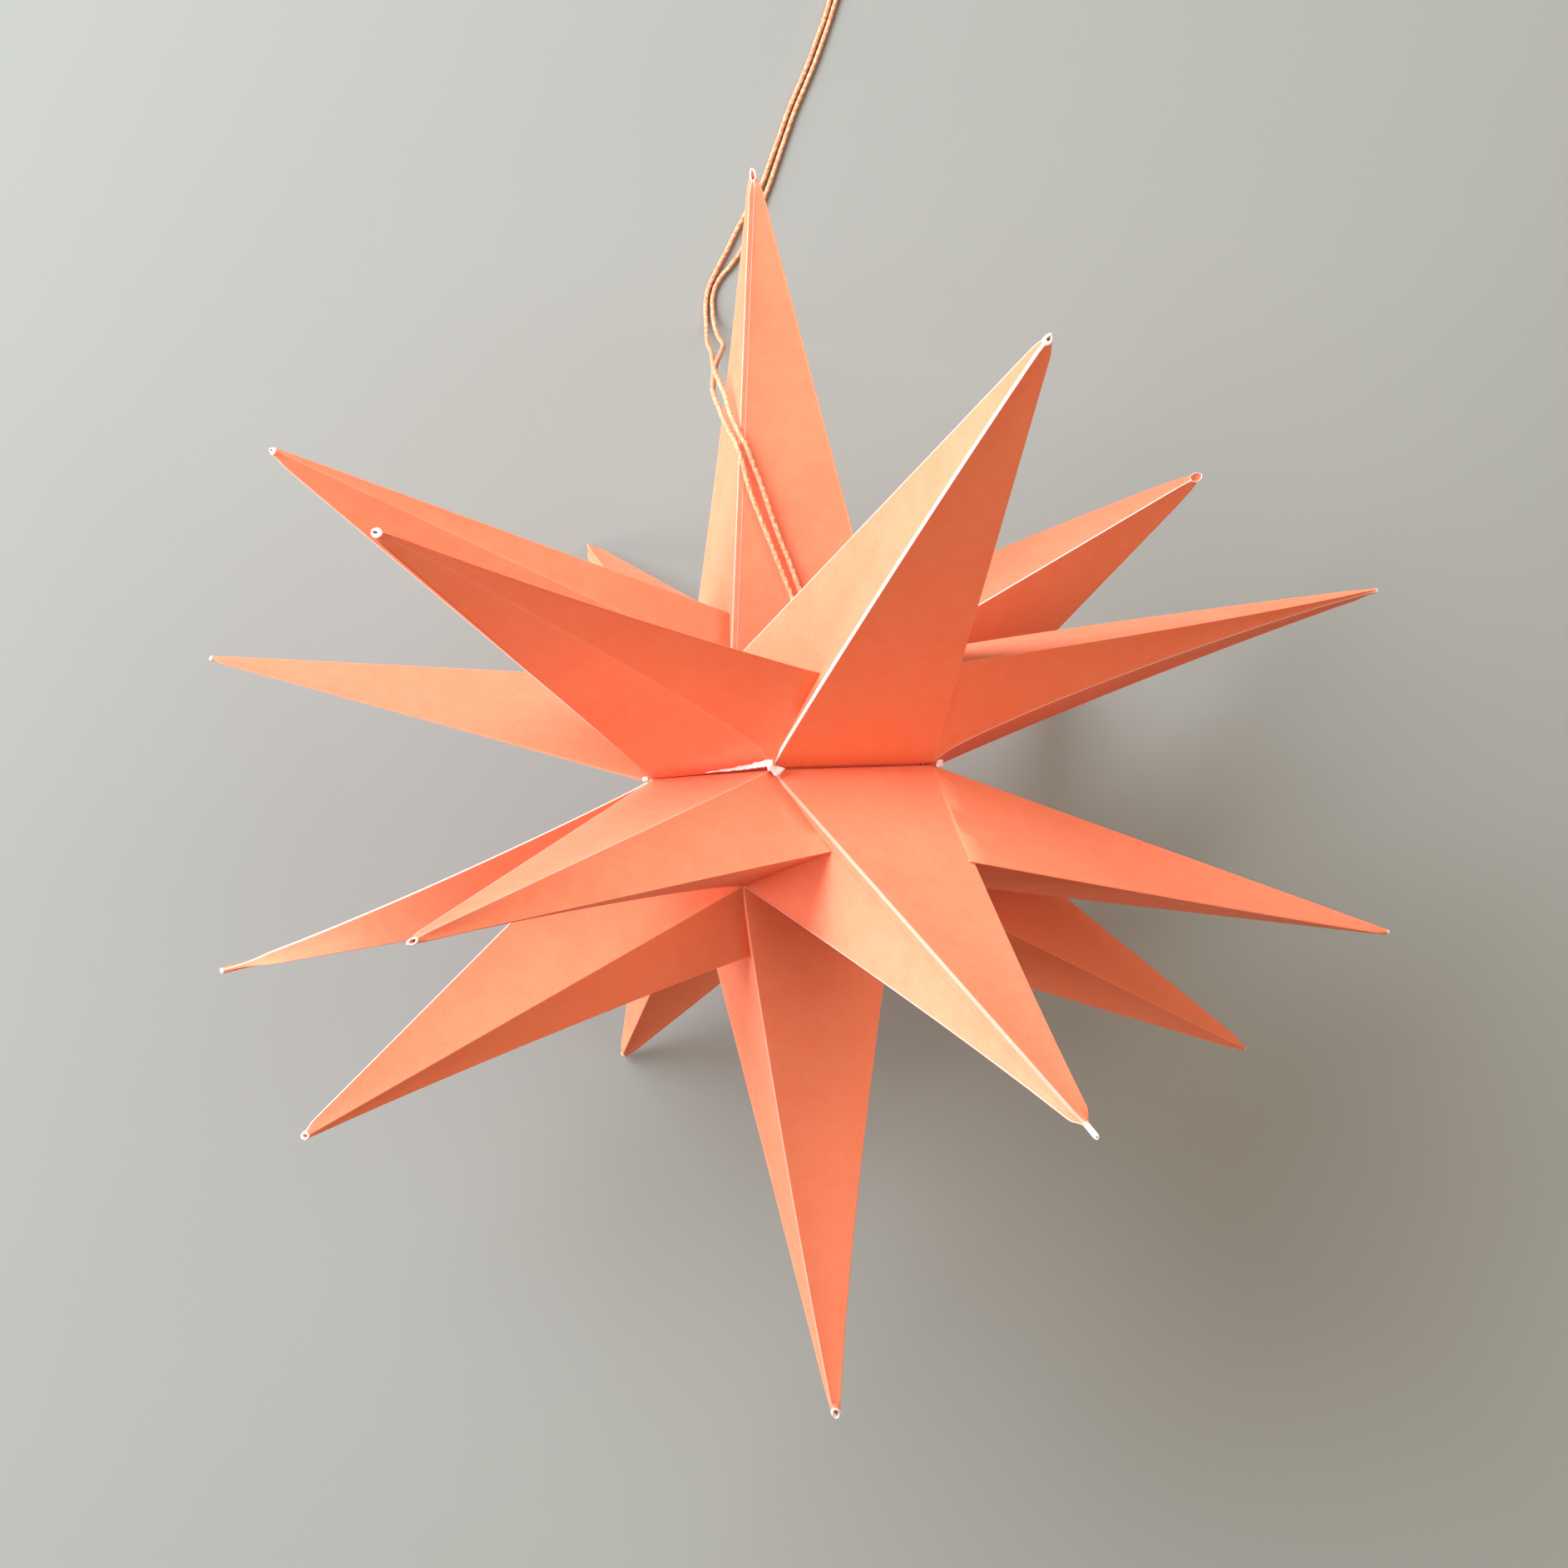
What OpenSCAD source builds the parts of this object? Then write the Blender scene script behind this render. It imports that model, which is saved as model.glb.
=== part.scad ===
// Eighteen-pointed paper star, folded from card in two halves of nine points.
// It lies on a flat surface: X to the right, Y towards the pole point of the
// half that hangs from the cord, Z up, with the surface at Z = 0.

/* [Star] */
// Reach of a point, from the star's centre to its tip
tip_reach = 225; // [190:1:260]
// Radius of the ring of six corners on the seam
seam_radius = 61; // [54:1:68]
// Gap between the two halves along the seam
seam_gap = 1.4; // [1:0.1:2.4]
// Radius of the square base of a pole point
pole_base_radius = 41; // [36:1:46]
// Height of that base above the seam
pole_base_height = 39; // [34:1:46]
// Height of the star's centre above the surface it lies on
lie_height = 180; // [170:1:190]

/* [Folding] */
// Rise of the front, right, back and left points above the seam, in degrees
side_rise = 30; // [27:1:33]
// Rise of the corner points above the seam, in degrees
corner_rise = 15; // [12:1:18]
// How far the front left and back right points lap along their neighbour's fold
corner_lap = 40; // [30:1:48]
// How far the front right and back left points lap along their neighbour's fold
end_lap = 54; // [44:1:64]
// How far the left and right points lap along the pole point's fold
side_lap = 19; // [14:1:24]
// Distance from a lapped fold to the corner that lies beside it
lap_inset = 4; // [2:0.5:5]

/* [Card] */
// Thickness of the card
card = 0.5; // [0.3:0.1:0.6]
// Clearance between a lapped corner and the face that it lies on
lap_clearance = 0.1; // [0.05:0.05:0.2]
// Distance from the rolled open end of a point back from its sharp tip
tip_cut = 9; // [8:0.5:12]

/* [Ties] */
// Diameter of a thread knot on the seam
tie_d = 2.8; // [2.2:0.1:3.4]

/* [Cord] */
// Diameter of one strand of the hanging cord
cord_d = 2; // [1.4:0.1:2]
// Width of the knot that joins the two strands
knot_d = 6; // [5:0.5:7]
// Length of that knot
knot_l = 9; // [8:0.5:11]

/* [Hidden] */
SIDES = ["pole", "front", "right", "back", "left"];
CORNERS = ["front_left", "back_left", "front_right", "back_right"];
POINTS = concat(SIDES, CORNERS);
TIES = ["front", "right", "back_right", "back", "back_left", "left"];

card_colour = [0.93, 0.46, 0.30];
thread_colour = [0.95, 0.93, 0.90];
cord_colour = [0.85, 0.55, 0.38];

// Each point was folded by hand, so it has its own bearing, counted from the upward direction
// towards +X, its own rise above or below the rule, and the pole points their own reach.
TOP_LEAN = [
    ["pole", 270, -0.4, -1.5], ["front", 27, 2.5, 0], ["right", 118, 1, 0],
    ["back", 204, 0, 0], ["left", 304, -1, 0], ["front_left", 325, 3.5, 0],
    ["back_left", 261, 0, 0], ["front_right", 92, -0.5, 0], ["back_right", 147, 0, 0]
];
BOTTOM_LEAN = [
    ["pole", 90, -1, 5], ["front", 27, 3, 0], ["right", 118, -0.5, 0],
    ["back", 203, -2, 0], ["left", 303, 0, 0], ["front_left", 328, -1.5, 0],
    ["back_left", 262, 0, 0], ["front_right", 93, 2.5, 0], ["back_right", 147, 0, 0]
];

// Bearings of the seam's corners, in the order of TIES, and of the pole base's first corner
SEAM_BEARING = [-6, 55, 128, 174, 235, 308];
POLE_BEARING = -27;
// Points whose tips the star lies on
FEET = ["back", "back_right"];
// Routes of the two strands: out of the valley between the pole and front points, over the pole
// point's front left fold, down to the surface, then under the pole point's tip to the knot
LEFT_ROUTE = [
    [8, 44.5, 210.5], [6.5, 53, 209.5], [3, 65, 209], [-0.5, 75.5, 208.5], [-4, 86, 208],
    [-7, 95, 207.5], [-10, 104.5, 207], [-12, 114, 206.5], [-14, 121.5, 204.5], [-16, 127, 197.5],
    [-18, 133, 188.5], [-20, 140.5, 178.5], [-21.5, 146.5, 170], [-22, 153, 152], [-22, 160, 132],
    [-22, 166.5, 112], [-22.5, 173, 92], [-23, 179.5, 72], [-23.5, 186, 52], [-24.5, 192, 33],
    [-25.5, 197.5, 17], [-26, 203, 6.5], [-26, 209.5, 2], [-26, 216.5, 1.1], [-24.5, 224.5, 1.1],
    [-20.5, 232.5, 1.1], [-15.5, 241, 1.1], [-10, 251, 1.1], [-4, 260.5, 1.1], [1, 269, 1.1],
    [5.5, 279.5, 1.1], [9.5, 289, 1.1], [14, 300, 1.1], [19, 310.5, 1.1], [24, 321, 1.1],
    [28, 330.5, 1.1], [32, 340, 1.1], [35.5, 350, 1.5], [38, 358, 2.5]
];
RIGHT_ROUTE = [
    [11.5, 44.5, 209.5], [9.5, 54, 208.5], [6, 67, 207.5], [3, 77, 207], [0, 86, 206.5],
    [-3, 96, 206], [-6, 107, 205.5], [-8.5, 114.5, 205], [-10.5, 121, 204.5], [-13.5, 127.5, 203.5],
    [-15.5, 134, 196], [-17, 142, 187], [-19, 149, 178.5], [-20.5, 155, 168.5], [-20.5, 161.5, 149],
    [-20, 167.5, 129], [-19.5, 173, 109], [-19, 179, 89], [-18.5, 185, 69], [-19, 191, 49],
    [-20.5, 197, 30], [-21.5, 202.5, 15.5], [-22.5, 208, 6], [-23, 214.5, 2], [-22.5, 222, 1.1],
    [-19.5, 228.5, 1.1], [-14.5, 234, 1.1], [-9.5, 240.5, 1.1], [-5, 249, 1.1], [-0.5, 258.5, 1.1],
    [4, 268, 1.1], [8, 278, 1.1], [12, 288, 1.1], [16.5, 299, 1.1], [21.5, 309.5, 1.1],
    [26.5, 320, 1.1], [30.5, 329.5, 1.1], [34.5, 339.5, 1.1], [38, 349.5, 1.5], [40.5, 357.5, 2.5]
];
STRAND_SIDES = 8;
// Place and bearing of the knot that lies on the surface at their ends
KNOT_PLACE = [40.5, 362.5, 3.1];
KNOT_BEARING = 20;
// How far a cutting form runs past the faces that it opens
OVERCUT = 1;

function unit(v) = v / norm(v);
function turn(bearing, y) = [sin(bearing), y, cos(bearing)];
function row(name, table) = table[search([name], table)[0]];
function has(name, names) = len([for (n = names) if (n == name) n]) > 0;

// Direction of a point, and its tip: a foot reaches down to the surface
function rule(name) = name == "pole" ? 90 : has(name, CORNERS) ? corner_rise : side_rise;
function lean(name, side) = row(name, side > 0 ? TOP_LEAN : BOTTOM_LEAN);
function direction(name, side) =
    let (l = lean(name, side), rise = rule(name) + l[2])
    [cos(rise) * sin(l[1]), side * sin(rise), cos(rise) * cos(l[1])];
function tip(name, side) =
    let (d = direction(name, side))
    let (reach = has(name, FEET) ? lie_height / -d.z : tip_reach + lean(name, side)[3])
    d * (reach + tip_cut);

// Corners of the star's core that the points share
function seam(k, side) =
    [seam_radius * sin(SEAM_BEARING[k]), side * seam_gap / 2, seam_radius * cos(SEAM_BEARING[k])];
function pole_corner(k, side) =
    let (b = POLE_BEARING + 90 * k)
    [pole_base_radius * sin(b), side * pole_base_height, pole_base_radius * cos(b)];

// A corner that laps over a neighbour's face: it lies beside the fold from corner to
// fold_tip, on the face whose other base corner is far, just clear of that face
function lapped(corner, fold_tip, far, along) =
    let (n = unit(cross(fold_tip - corner, far - corner)))
    let (out = n * corner > 0 ? n : -n)
    corner + along * unit(fold_tip - corner) + lap_inset * unit(far - corner) + lap_clearance * out;

// The four base corners of a point, in order round it
function base(name, side) =
    let (S = [for (k = [0:5]) seam(k, side)], P = [for (k = [0:3]) pole_corner(k, side)])
    let (pole = tip("pole", side), front = tip("front", side), back = tip("back", side))
    name == "pole" ? P :
    name == "front" ? [S[0], S[1], P[1], P[0]] :
    name == "back" ? [S[3], S[4], P[3], P[2]] :
    name == "left" ? [S[5], P[0], lapped(P[0], pole, P[3], side_lap), P[3]] :
    name == "right" ? [S[2], P[2], lapped(P[2], pole, P[1], side_lap), P[1]] :
    name == "front_left" ? [S[5], S[0], lapped(S[0], front, P[0], corner_lap), P[0]] :
    name == "back_right" ? [S[2], S[3], lapped(S[3], back, P[2], corner_lap), P[2]] :
    name == "front_right" ? [S[2], P[1], lapped(S[1], front, P[1], end_lap), S[1]] :
    [S[5], P[3], lapped(S[4], back, P[3], end_lap), S[4]];

// Shift of a pyramid's edge that sets the two faces beside it back by the card
function edge_shift(n_before, n_after) = -card * (n_before + n_after) / (1 + n_before * n_after);
function normals(apex, corners) =
    let (inside = (apex + corners[0] + corners[1] + corners[2] + corners[3]) / 5)
    [for (k = [0:3])
        let (n = unit(cross(corners[k] - apex, corners[(k + 1) % 4] - apex)))
        n * (apex - inside) > 0 ? n : -n];
function cut_back(apex, corner) = apex + tip_cut * unit(corner - apex);

// Corners of a point's outer form, its rolled end first
function outer_ring(name, side) =
    let (apex = tip(name, side), corners = base(name, side))
    concat([for (c = corners) cut_back(apex, c)], corners);

// Hollow folded point, open at its base and at its rolled end
module folded_point(name, side) {
    apex = tip(name, side);
    corners = base(name, side);
    n = normals(apex, corners);
    color(card_colour)
        translate(centre_shift)
            difference() {
                hull()
                    solid(outer_ring(name, side));
                hull()
                    solid([for (end = [-1, 1], k = [0:3])
                        let (along = unit(apex - corners[k]))
                        let (shift = edge_shift(n[(k + 3) % 4], n[k]))
                        (end < 0 ? cut_back(apex, corners[k]) : corners[k]) - end * OVERCUT * along + shift]);
            }
}

module solid(points) {
    polyhedron(points, [[0, 1, 2, 3], [7, 6, 5, 4], [1, 0, 4, 5], [2, 1, 5, 6], [3, 2, 6, 7], [0, 3, 7, 4]]);
}

ALL_CORNERS = [for (side = [1, -1], p = POINTS) each outer_ring(p, side)];
ALL_X = [for (c = ALL_CORNERS) c.x];
ALL_Y = [for (c = ALL_CORNERS) c.y];
ALL_Z = [for (c = ALL_CORNERS) c.z];
centre_shift = [-(min(ALL_X) + max(ALL_X)) / 2, -(min(ALL_Y) + max(ALL_Y)) / 2, -min(ALL_Z)];

// Thread knot just outside a corner of the seam
module tie(k) {
    color(thread_colour)
        translate(centre_shift)
            translate((seam_radius + tie_d) * turn(SEAM_BEARING[k], 0))
                sphere(d = tie_d, $fn = 32);
}

// Ring of a strand's corners about one point of its route
function strand_ring(route, k) =
    let (ahead = unit(route[min(k + 1, len(route) - 1)] - route[max(k - 1, 0)]))
    let (up = unit(cross([1, 0, 0], ahead)), across = cross(ahead, up))
    [for (s = [0:STRAND_SIDES - 1])
        let (a = 360 * s / STRAND_SIDES)
        route[k] + cord_d / 2 * (cos(a) * across + sin(a) * up)];

// One strand of the cord, swept along its route
module strand(route) {
    n = STRAND_SIDES;
    last = (len(route) - 1) * n;
    color(cord_colour)
        polyhedron(
            [for (k = [0:len(route) - 1]) each strand_ring(route, k)],
            concat(
                [[for (s = [0:n - 1]) s], [for (s = [n - 1:-1:0]) last + s]],
                [for (k = [0:len(route) - 2], s = [0:n - 1])
                    let (a = k * n + s, b = k * n + (s + 1) % n)
                    [a, a + n, b + n, b]]
            )
        );
}

// Knot that joins the ends of the strands
module cord_knot() {
    color(cord_colour)
        translate(KNOT_PLACE)
            rotate([0, 0, -KNOT_BEARING])
                hull()
                    for (end = [-1, 1])
                        translate([0, end * (knot_l - knot_d) / 2, 0])
                            sphere(d = knot_d, $fn = 32);
}

for (p = POINTS) {
    folded_point(p, 1);
    folded_point(p, -1);
}
for (k = [0:5]) {
    tie(k);
}
strand(LEFT_ROUTE);  // cord_left_strand
strand(RIGHT_ROUTE);  // cord_right_strand
cord_knot();
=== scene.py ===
"""A paper star with eighteen folded points, lying on a pale floor with its hanging cord beside it."""
import math

import bmesh
import bpy
import numpy as np
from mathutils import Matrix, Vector


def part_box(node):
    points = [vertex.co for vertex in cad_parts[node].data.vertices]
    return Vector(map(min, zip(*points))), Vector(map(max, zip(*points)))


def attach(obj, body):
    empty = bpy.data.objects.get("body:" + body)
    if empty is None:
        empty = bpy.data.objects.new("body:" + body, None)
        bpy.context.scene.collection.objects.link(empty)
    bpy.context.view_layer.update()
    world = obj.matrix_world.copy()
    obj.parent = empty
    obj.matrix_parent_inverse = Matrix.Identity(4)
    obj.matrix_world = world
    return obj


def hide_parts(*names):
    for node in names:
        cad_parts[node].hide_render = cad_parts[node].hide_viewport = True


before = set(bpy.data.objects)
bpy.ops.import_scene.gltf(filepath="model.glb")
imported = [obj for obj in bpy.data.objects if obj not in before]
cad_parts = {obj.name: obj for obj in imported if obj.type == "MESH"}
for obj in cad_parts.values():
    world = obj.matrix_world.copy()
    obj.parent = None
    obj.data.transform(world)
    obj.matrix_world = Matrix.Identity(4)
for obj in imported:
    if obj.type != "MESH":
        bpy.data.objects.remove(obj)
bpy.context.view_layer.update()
MM = 0.001


# Camera: almost straight down on the star, from a little below its centre in the picture.
# The picture is taken to be 1885 pixels square.
PICTURE = 1885
FOCAL_PIXELS = 3400
SENSOR = 36
CAMERA_PLACE = Vector((-3.6, -52.5, 1201.9)) * MM
CAMERA_TILT = math.radians(3.0)
CAMERA_TURN = math.radians(-3.15)
camera = bpy.data.objects.new("camera", bpy.data.cameras.new("camera"))
bpy.context.collection.objects.link(camera)
camera.data.sensor_width = SENSOR
camera.data.lens = SENSOR * FOCAL_PIXELS / PICTURE
camera.location = CAMERA_PLACE
camera.rotation_mode = "ZYX"
camera.rotation_euler = (CAMERA_TILT, 0, CAMERA_TURN)
bpy.context.scene.camera = camera


# Hanging cord: two strands of soft peach twine, each of two plies twisted together, joined by a knot.
# Both come out of the valley beside the top pole point, cross its fold and drop to the floor.
# The routes are in mm.
STRAND_D = 2 * MM
PLY_D = 0.85 * STRAND_D
TWIST_PITCH = 7 * MM
TWINE_STEP = 0.45 * MM
PLY_SIDES = 8
LEFT_ROUTE = [
    (8, 44.5, 210.5), (6.5, 53, 209.5), (3, 65, 209), (-0.5, 75.5, 208.5), (-4, 86, 208),
    (-7, 95, 207.5), (-10, 104.5, 207), (-12, 114, 206.5), (-14, 121.5, 204.5), (-16, 127, 197.5),
    (-18, 133, 188.5), (-20, 140.5, 178.5), (-21.5, 146.5, 170), (-22, 153, 152), (-22, 160, 132),
    (-22, 166.5, 112), (-22.5, 173, 92), (-23, 179.5, 72), (-23.5, 186, 52), (-24.5, 192, 33),
    (-25.5, 197.5, 17), (-26, 203, 6.5), (-26, 209.5, 2), (-26, 216.5, 1.1), (-24.5, 224.5, 1.1),
    (-20.5, 232.5, 1.1), (-15.5, 241, 1.1), (-10, 251, 1.1), (-4, 260.5, 1.1), (1, 269, 1.1),
    (5.5, 279.5, 1.1), (9.5, 289, 1.1), (14, 300, 1.1), (19, 310.5, 1.1), (24, 321, 1.1),
    (28, 330.5, 1.1), (32, 340, 1.1), (35.5, 350, 1.5), (38, 358, 2.5),
]
RIGHT_ROUTE = [
    (11.5, 44.5, 209.5), (9.5, 54, 208.5), (6, 67, 207.5), (3, 77, 207), (0, 86, 206.5),
    (-3, 96, 206), (-6, 107, 205.5), (-8.5, 114.5, 205), (-10.5, 121, 204.5), (-13.5, 127.5, 203.5),
    (-15.5, 134, 196), (-17, 142, 187), (-19, 149, 178.5), (-20.5, 155, 168.5), (-20.5, 161.5, 149),
    (-20, 167.5, 129), (-19.5, 173, 109), (-19, 179, 89), (-18.5, 185, 69), (-19, 191, 49),
    (-20.5, 197, 30), (-21.5, 202.5, 15.5), (-22.5, 208, 6), (-23, 214.5, 2), (-22.5, 222, 1.1),
    (-19.5, 228.5, 1.1), (-14.5, 234, 1.1), (-9.5, 240.5, 1.1), (-5, 249, 1.1), (-0.5, 258.5, 1.1),
    (4, 268, 1.1), (8, 278, 1.1), (12, 288, 1.1), (16.5, 299, 1.1), (21.5, 309.5, 1.1),
    (26.5, 320, 1.1), (30.5, 329.5, 1.1), (34.5, 339.5, 1.1), (38, 349.5, 1.5), (40.5, 357.5, 2.5),
]


def linear(red, green, blue):
    """A colour written in screen values from 0 to 255, as the shader takes it."""
    channels = [((c / 255 + 0.055) / 1.055) ** 2.4 if c > 10 else c / 3295 for c in (red, green, blue)]
    return (*channels, 1)


def add_node(tree, kind, settings, inputs):
    """Adds a node to a tree: its settings first, then the values or links of its sockets."""
    node = tree.nodes.new(kind)
    for name, value in settings.items():
        setattr(node, name, value)
    for name, value in inputs.items():
        if isinstance(value, Value):
            value = value.socket
        if isinstance(value, bpy.types.NodeSocket):
            tree.links.new(value, node.inputs[name])
        else:
            node.inputs[name].default_value = value
    return node


class Value:
    """A number that varies over a surface: sums on it add Math nodes."""

    def __init__(self, socket):
        self.socket = socket

    def math(self, operation, other):
        settings = {"operation": operation}
        node = add_node(self.socket.id_data, "ShaderNodeMath", settings, {0: self, 1: other})
        return Value(node.outputs[0])

    def __add__(self, other):
        return self.math("ADD", other)

    def __sub__(self, other):
        return self.math("SUBTRACT", other)

    def __mul__(self, other):
        return self.math("MULTIPLY", other)

    def __or__(self, other):
        return self.math("MAXIMUM", other)

    def ramp(self, low, high):
        """Rises smoothly from 0 at low to 1 at high."""
        node = add_node(
            self.socket.id_data, "ShaderNodeMapRange", {"interpolation_type": "SMOOTHSTEP"},
            {"Value": self, "From Min": low, "From Max": high},
        )
        return Value(node.outputs["Result"])

    __radd__ = __add__
    __rmul__ = __mul__


class Finish:
    """A material with one Principled shader, whose varying inputs are set by expressions."""

    def __init__(self, name, roughness, specular):
        self.material = bpy.data.materials.new(name)
        self.material.use_nodes = True
        self.tree = self.material.node_tree
        self.shader = self.tree.nodes["Principled BSDF"]
        self.shader.inputs["Roughness"].default_value = roughness
        self.shader.inputs["Specular IOR Level"].default_value = specular

    def node(self, kind, settings=None, inputs=None):
        return add_node(self.tree, kind, settings or {}, inputs or {})

    def noise(self, scale, detail):
        place = self.node("ShaderNodeTexCoord").outputs["Object"]
        noise = self.node("ShaderNodeTexNoise", {}, {"Vector": place, "Scale": scale, "Detail": detail})
        return Value(noise.outputs[0])

    def attribute(self, name):
        return Value(self.node("ShaderNodeAttribute", {"attribute_name": name}).outputs["Fac"])

    def mix(self, share, first, second):
        node = self.node("ShaderNodeMix", {"data_type": "RGBA"}, {0: share, 6: first, 7: second})
        return node.outputs[2]

    def colour(self, socket):
        self.tree.links.new(socket, self.shader.inputs["Base Color"])

    def relief(self, height, depth):
        bump = self.node("ShaderNodeBump", {}, {"Height": height, "Distance": depth, "Strength": 1.0})
        self.tree.links.new(bump.outputs[0], self.shader.inputs["Normal"])


TWINE_DARK = linear(224, 146, 104)
TWINE_PALE = linear(248, 194, 154)
twine = Finish("peach_twine", roughness=0.85, specular=0.2)
fibres = twine.noise(900, 4)
twine.colour(twine.mix(fibres.ramp(0.35, 0.7), TWINE_DARK, TWINE_PALE))
twine.relief(twine.noise(2600, 3), 0.12 * MM)


def thread_tree(name):
    """Geometry nodes that lay two plies in a helix round a path."""
    tree = bpy.data.node_groups.new(name, "GeometryNodeTree")
    face = tree.interface
    face.new_socket("Geometry", in_out="INPUT", socket_type="NodeSocketGeometry")
    for label in ("Width", "Ply width", "Pitch", "Step"):
        face.new_socket(label, in_out="INPUT", socket_type="NodeSocketFloat")
    face.new_socket("Material", in_out="INPUT", socket_type="NodeSocketMaterial")
    face.new_socket("Geometry", in_out="OUTPUT", socket_type="NodeSocketGeometry")
    given = tree.nodes.new("NodeGroupInput").outputs

    def node(kind, settings, inputs):
        return add_node(tree, kind, settings, inputs)

    def maths(operation, first, second):
        return node("ShaderNodeMath", {"operation": operation}, {0: first, 1: second}).outputs[0]

    path = node(
        "GeometryNodeResampleCurve", {"mode": "LENGTH"},
        {"Curve": given["Geometry"], "Length": given["Step"]},
    )
    along = node("GeometryNodeSplineParameter", {}, {}).outputs["Length"]
    turn = maths("MULTIPLY", maths("DIVIDE", along, given["Pitch"]), math.tau)
    ahead = node("GeometryNodeInputTangent", {}, {}).outputs[0]
    side = node("GeometryNodeInputNormal", {}, {}).outputs[0]
    up = node("ShaderNodeVectorMath", {"operation": "CROSS_PRODUCT"}, {0: ahead, 1: side}).outputs[0]
    radius = maths("DIVIDE", maths("SUBTRACT", given["Width"], given["Ply width"]), 2.0)
    ply_radius = maths("DIVIDE", given["Ply width"], 2.0)
    section = node("GeometryNodeCurvePrimitiveCircle", {}, {"Resolution": PLY_SIDES, "Radius": ply_radius})
    plies = []
    for start in (0.0, math.pi):
        angle = maths("ADD", turn, start)
        out = []
        for axis, operation in ((side, "COSINE"), (up, "SINE")):
            reach = maths("MULTIPLY", radius, maths(operation, angle, 0.0))
            scaled = node("ShaderNodeVectorMath", {"operation": "SCALE"}, {0: axis, "Scale": reach})
            out.append(scaled.outputs[0])
        offset = node("ShaderNodeVectorMath", {"operation": "ADD"}, {0: out[0], 1: out[1]}).outputs[0]
        ply = node("GeometryNodeSetPosition", {}, {"Geometry": path.outputs[0], "Offset": offset})
        tube = node(
            "GeometryNodeCurveToMesh", {},
            {"Curve": ply.outputs[0], "Profile Curve": section.outputs[0], "Fill Caps": True},
        )
        plies.append(tube.outputs[0])
    joined = node("GeometryNodeJoinGeometry", {}, {})
    for ply in plies:
        tree.links.new(ply, joined.inputs[0])
    whole = node("GeometryNodeRealizeInstances", {}, {"Geometry": joined.outputs[0]})
    dressed = node(
        "GeometryNodeSetMaterial", {}, {"Geometry": whole.outputs[0], "Material": given["Material"]},
    )
    shaded = node("GeometryNodeSetShadeSmooth", {}, {"Geometry": dressed.outputs[0]})
    result = tree.nodes.new("NodeGroupOutput")
    tree.links.new(shaded.outputs[0], result.inputs[0])
    return tree


def lay_thread(name, points, closed, tree, sizes, finish):
    """Runs a smooth curve through the points, dresses it with the tree and returns a plain mesh object."""
    curve = bpy.data.curves.new(name + "_path", "CURVE")
    curve.dimensions = "3D"
    curve.resolution_u = 12
    spline = curve.splines.new("BEZIER")
    spline.bezier_points.add(len(points) - 1)
    spline.use_cyclic_u = closed
    for knot, place in zip(spline.bezier_points, points):
        knot.co = place
        knot.handle_left_type = knot.handle_right_type = "AUTO"
    path = bpy.data.objects.new(name + "_path", curve)
    bpy.context.collection.objects.link(path)
    modifier = path.modifiers.new("thread", "NODES")
    modifier.node_group = tree
    for item in tree.interface.items_tree:
        if item.in_out == "INPUT" and item.name in sizes:
            modifier[item.identifier] = sizes[item.name]
        if item.in_out == "INPUT" and item.name == "Material":
            modifier[item.identifier] = finish.material
    laid = path.evaluated_get(bpy.context.evaluated_depsgraph_get())
    mesh = bpy.data.meshes.new_from_object(laid)
    bpy.data.objects.remove(path)
    piece = bpy.data.objects.new(name, mesh)
    bpy.context.collection.objects.link(piece)
    return piece


thread_nodes = thread_tree("thread")
twine_sizes = {"Width": STRAND_D, "Ply width": PLY_D, "Pitch": TWIST_PITCH, "Step": TWINE_STEP}


# Overhand knot that joins the two strands, pulled tight and drawn as one closed turn of twine.
KNOT_BEARING = math.radians(20)
KNOT_STEPS = 48
KNOT_RADIUS = 1.55 * MM
KNOT_SWELL = 0.6 * MM
KNOT_REACH = 2.3 * MM
knot_low, knot_high = (Vector(corner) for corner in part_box("cord_knot"))
knot_centre = (knot_low + knot_high) / 2
knot_ahead = Vector((math.sin(KNOT_BEARING), math.cos(KNOT_BEARING), 0))
knot_across = Vector((knot_ahead.y, -knot_ahead.x, 0))
knot_turns = []
for step in range(KNOT_STEPS):
    turn = math.tau * step / KNOT_STEPS
    wide = KNOT_RADIUS + KNOT_SWELL * math.cos(3 * turn)
    knot_turns.append(
        knot_centre
        + knot_across * wide * math.cos(2 * turn)
        + Vector((0, 0, wide * math.sin(2 * turn)))
        + knot_ahead * KNOT_REACH * math.sin(3 * turn)
    )
knot = lay_thread("twine_knot", knot_turns, True, thread_nodes, twine_sizes, twine)
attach(knot, "root")
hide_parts("cord_knot")

for side, route in (("left", LEFT_ROUTE), ("right", RIGHT_ROUTE)):
    places = [Vector(point) * MM for point in route]
    strand = lay_thread(side + "_strand", places, False, thread_nodes, twine_sizes, twine)
    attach(strand, "root")
    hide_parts("cord_" + side + "_strand")


# Points: hollow four-sided cones of coral card with a white core, each creased along four folds and
# glued at one of them, where the cut edge shows. The end is rolled to a small open tip.
CARD = 0.5 * MM
FOLD_ANGLE = math.radians(12)
SHARP_ANGLE = math.radians(55)
FOLD_WIDTH = 0.45 * MM
# Width and whiteness of the painted highlight along a fold that faces the window
LIT_FOLD_WIDTH = 0.8 * MM
LIT_FOLD_WHITE = 0.4
CUT_SHARE = 0.7
CUT_LIMIT = 0.3
FOLD_GLOW = 0.35 * MM
PULL = 0.5 * MM
PULL_RANGE = (0.5, 1.3)
EDGE_MARK = 0.12 * MM
INNER_MARK = 1.0 * MM
SIDE_STEPS = 8
ROUND_STEPS = 4
ROWS = 48
ROW_CROWDING = 1.8
BOW_FADE = 1.4
BOW_FULLNESS = 0.6
PINCH = 0.9 * MM
RAGGED = 1 * MM
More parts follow.
